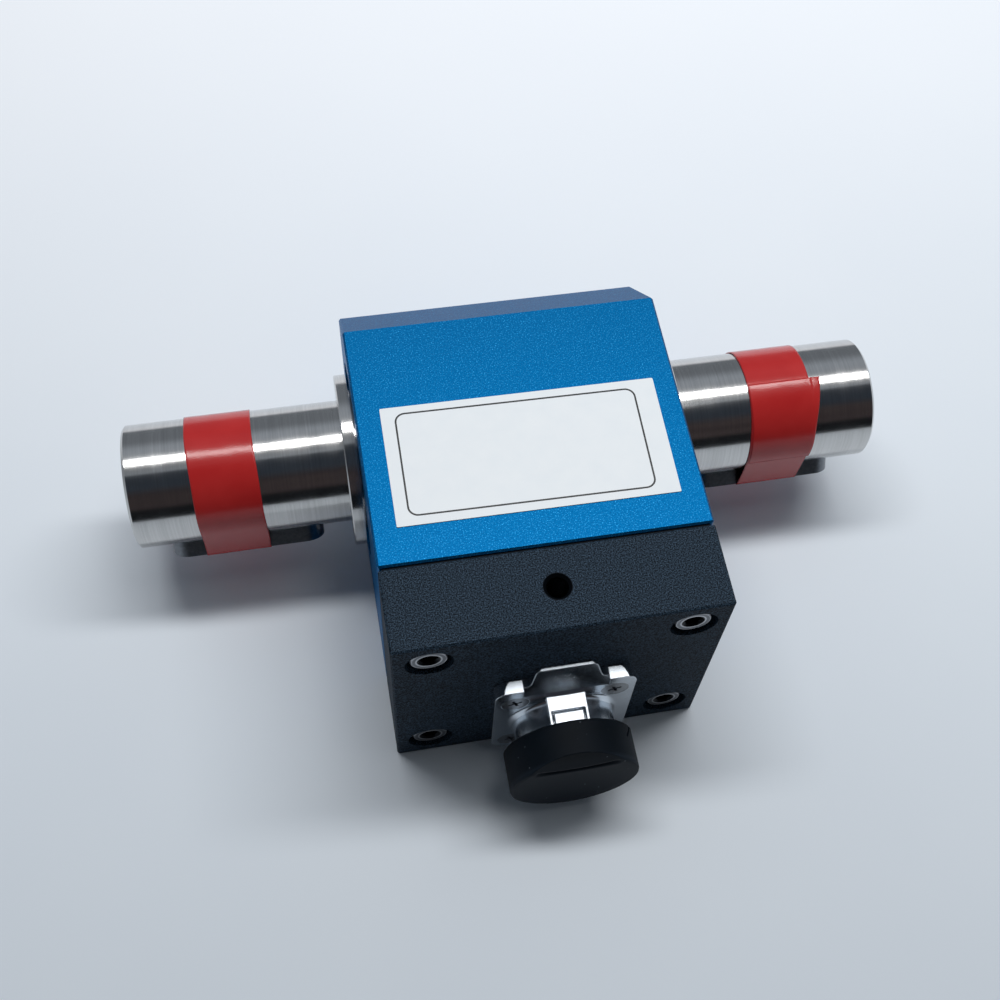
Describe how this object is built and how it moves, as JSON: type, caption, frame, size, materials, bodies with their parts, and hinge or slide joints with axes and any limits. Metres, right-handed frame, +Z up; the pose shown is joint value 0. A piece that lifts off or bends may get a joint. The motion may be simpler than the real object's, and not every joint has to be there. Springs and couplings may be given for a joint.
{
  "type": "rotary torque sensor",
  "caption": "Slip ring torque sensor: a keyed steel shaft turns in a blue aluminium housing whose black cover carries a capped round connector.",
  "frame": {"origin": "on the rest face, straight below the middle of the shaft's axis", "axes": "+X along the shaft, -Y out of the connector, +Z up as the sensor lies on its broad side"},
  "size_m": [0.123, 0.0789, 0.0421],
  "materials": {
    "blue_anodised": "bead blasted and anodised blue",
    "black_anodised": "bead blasted and anodised black",
    "ground_steel": "ground, fine marks around the axis",
    "key_steel": "cold drawn",
    "bearing_steel": "polished",
    "cage_brass": "plain",
    "spring_steel": "phosphated",
    "red_tape": "soft vinyl",
    "label_film": "white film, left blank",
    "screw_steel": "plain, slightly dull",
    "zinc_screw": "plated",
    "chrome_zinc": "die cast, bright plated",
    "black_rubber": "matt",
    "black_insulator": "moulded",
    "gold_contact": "gold plated",
    "spring_bronze": "rolled",
    "silver_graphite": "sintered",
    "board_green": "solder resist",
    "wire_red": "insulated",
    "gauge_film": "polyimide foil"
  },
  "bodies": {
    "housing": {"body_housing": "blue_anodised", "cover": "black_anodised", "cover_gasket": "black_rubber", "cover_screws": "screw_steel", "label": "label_film", "circlip_left": "spring_steel", "circlip_right": "spring_steel", "bearing_outer_left": "bearing_steel", "bearing_outer_right": "bearing_steel", "brush_block": "black_insulator", "brush_springs": "spring_bronze", "brush_contacts": "silver_graphite", "terminal_board": "board_green", "terminal_pins": "gold_contact", "lead_wires": "wire_red", "connector_shell": "chrome_zinc", "connector_seal": "black_rubber", "connector_screws": "zinc_screw", "connector_insert": "black_insulator", "connector_contacts": "gold_contact"},
    "shaft": {"shaft": "ground_steel", "key_left": "key_steel", "key_right": "key_steel", "tape_left": "red_tape", "tape_right": "red_tape", "collar_left": "ground_steel", "collar_right": "ground_steel", "bearing_inner_left": "bearing_steel", "bearing_inner_right": "bearing_steel", "strain_gauges": "gauge_film", "slip_sleeve": "black_insulator", "slip_rings": "gold_contact"},
    "balls_left": {"bearing_balls_left": "bearing_steel", "bearing_cage_left": "cage_brass"},
    "balls_right": {"bearing_balls_right": "bearing_steel", "bearing_cage_right": "cage_brass"},
    "cap": {"dust_cap": "black_rubber"}
  },
  "joints": [
    {"name": "shaft_spin", "type": "hinge", "parent": "housing", "child": "shaft", "pos_m": [0, 0, 0.021], "axis": [1, 0, 0], "continuous": true},
    {"name": "cage_left_spin", "type": "hinge", "parent": "housing", "child": "balls_left", "pos_m": [0, 0, 0.021], "axis": [1, 0, 0], "continuous": true},
    {"name": "cage_right_spin", "type": "hinge", "parent": "housing", "child": "balls_right", "pos_m": [0, 0, 0.021], "axis": [1, 0, 0], "continuous": true},
    {"name": "cap_pull", "type": "slide", "parent": "housing", "child": "cap", "axis": [0, -1, 0], "range_m": [0, 0.02]}
  ],
  "couplings": [
    {"joint": "cage_left_spin", "follows": "shaft_spin", "ratio": 0.4327},
    {"joint": "cage_right_spin", "follows": "shaft_spin", "ratio": 0.4327}
  ]
}
